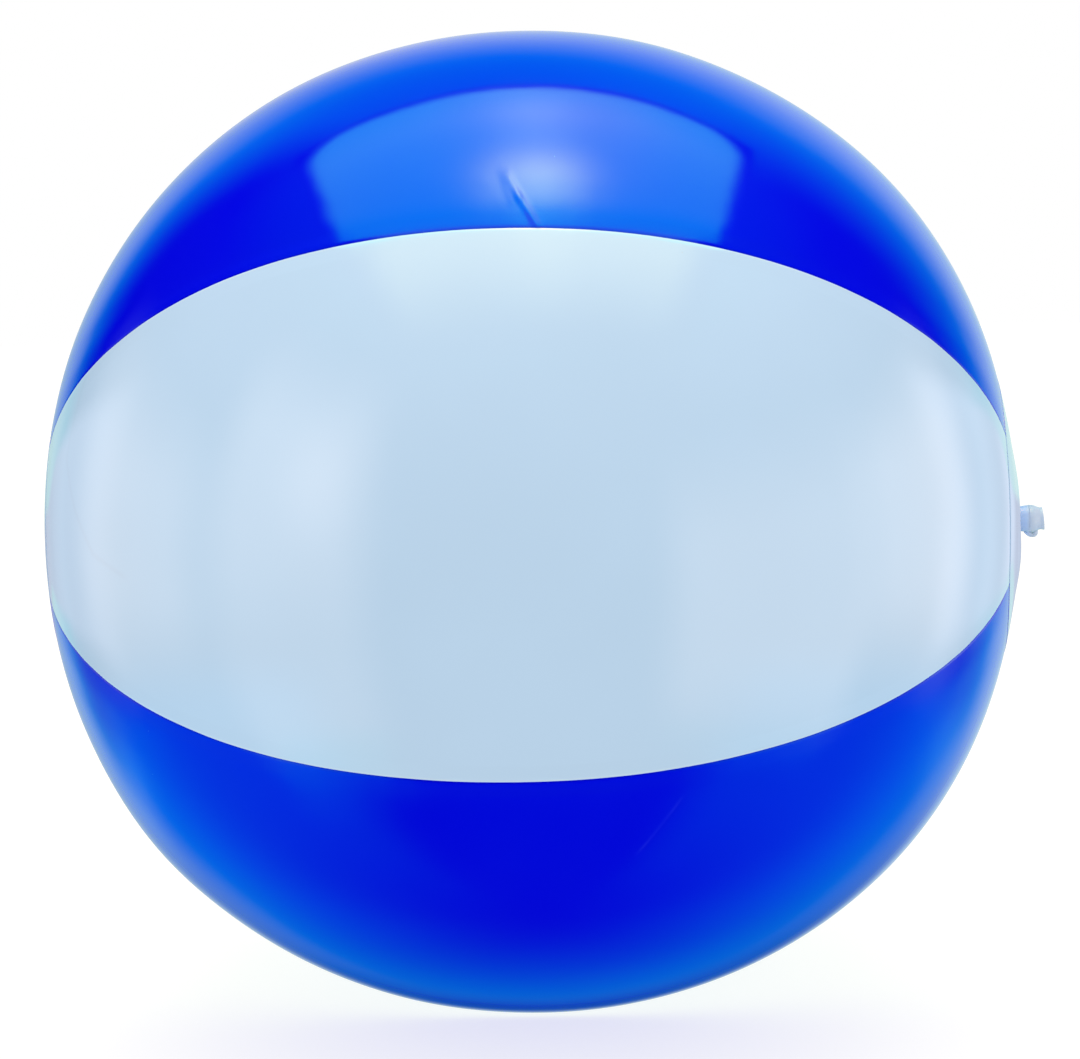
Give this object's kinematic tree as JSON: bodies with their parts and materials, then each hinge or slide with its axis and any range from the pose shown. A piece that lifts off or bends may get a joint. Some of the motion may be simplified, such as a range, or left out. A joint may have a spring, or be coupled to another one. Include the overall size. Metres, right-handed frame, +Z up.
{
  "type": "beach ball",
  "caption": "Inflated beach ball of alternating blue and white film panels with round end discs and a push-in air valve closed by a tethered plug.",
  "frame": {"origin": "middle of the flat patch where the ball rests on the floor, below its centre", "axes": "+Z up, +X along the polar axis towards the valve, -Y towards the middle of the front white panel"},
  "size_m": [0.2871, 0.2793, 0.2786],
  "materials": {
    "blue_film": "glossy soft vinyl film",
    "white_film": "glossy soft vinyl film",
    "valve_plastic": "soft moulded vinyl, slightly translucent"
  },
  "bodies": {
    "ball": {"white_panel_front": "white_film", "blue_panel_top": "blue_film", "white_panel_upper_back": "white_film", "blue_panel_back": "blue_film", "white_panel_lower_back": "white_film", "blue_panel_front_lower": "blue_film", "valve_end_disc": "white_film", "plain_end_disc": "white_film", "valve_flange": "valve_plastic", "valve_neck": "valve_plastic"},
    "stem": {"valve_stem": "valve_plastic"},
    "flap": {"check_flap": "valve_plastic"},
    "strap": {"plug_strap": "valve_plastic"},
    "plug": {"valve_plug": "valve_plastic"}
  },
  "joints": [
    {"name": "stem_push", "type": "slide", "parent": "ball", "child": "stem", "axis": [-1, 0, 0], "range_m": [0, 0.006], "deforming": ["valve_neck"]},
    {"name": "plug_swing", "type": "hinge", "parent": "stem", "child": "strap", "pos_m": [0.14347, 0, 0.13349], "axis": [0, 1, 0], "range_deg": [0, 75], "deforming": ["plug_strap"]},
    {"name": "plug_pull", "type": "slide", "parent": "strap", "child": "plug", "axis": [1, 0, 0], "range_m": [0, 0.005]},
    {"name": "flap_swing", "type": "hinge", "parent": "stem", "child": "flap", "pos_m": [0.13325, 0, 0.14229], "axis": [0, 1, 0], "range_deg": [0, 65]}
  ],
  "couplings": [
    {"joint": "plug_swing", "follows": "plug_pull", "rad_per_m": 261.8}
  ]
}
